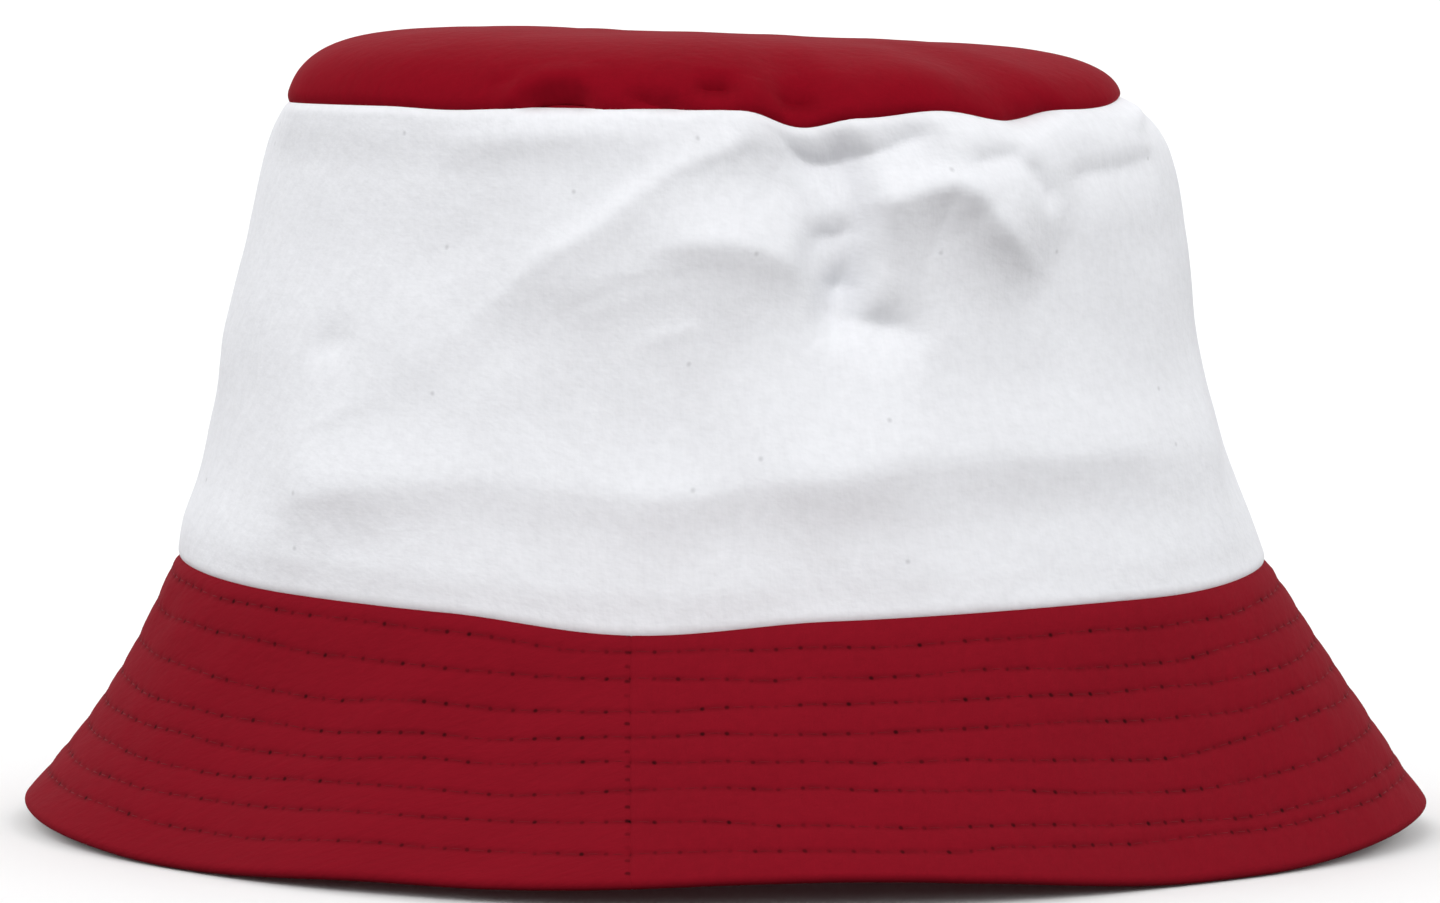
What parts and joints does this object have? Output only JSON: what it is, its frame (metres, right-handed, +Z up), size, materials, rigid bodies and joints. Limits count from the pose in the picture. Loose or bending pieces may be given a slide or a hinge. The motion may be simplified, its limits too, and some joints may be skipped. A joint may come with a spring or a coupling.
{
  "type": "bucket hat",
  "caption": "Cotton bucket hat to wear on the head: red oval tip, white side band, and a red quilted brim that slopes down all round.",
  "frame": {"origin": "bottom centre of the bounding box, on the surface that the brim's edge rests on", "axes": "+X along the length of the head, to the right in the picture; +Y across the head, away from the side that the picture shows; +Z up through the tip"},
  "size_m": [0.2691, 0.242, 0.1515],
  "materials": {
    "red_cotton": "dark red dyed cotton twill, matt",
    "white_cotton": "bleached white cotton twill, matt"
  },
  "bodies": {
    "root": {"crown_tip": "red_cotton", "crown_band": "white_cotton", "brim_right": "red_cotton", "brim_left": "red_cotton"}
  },
  "joints": []
}
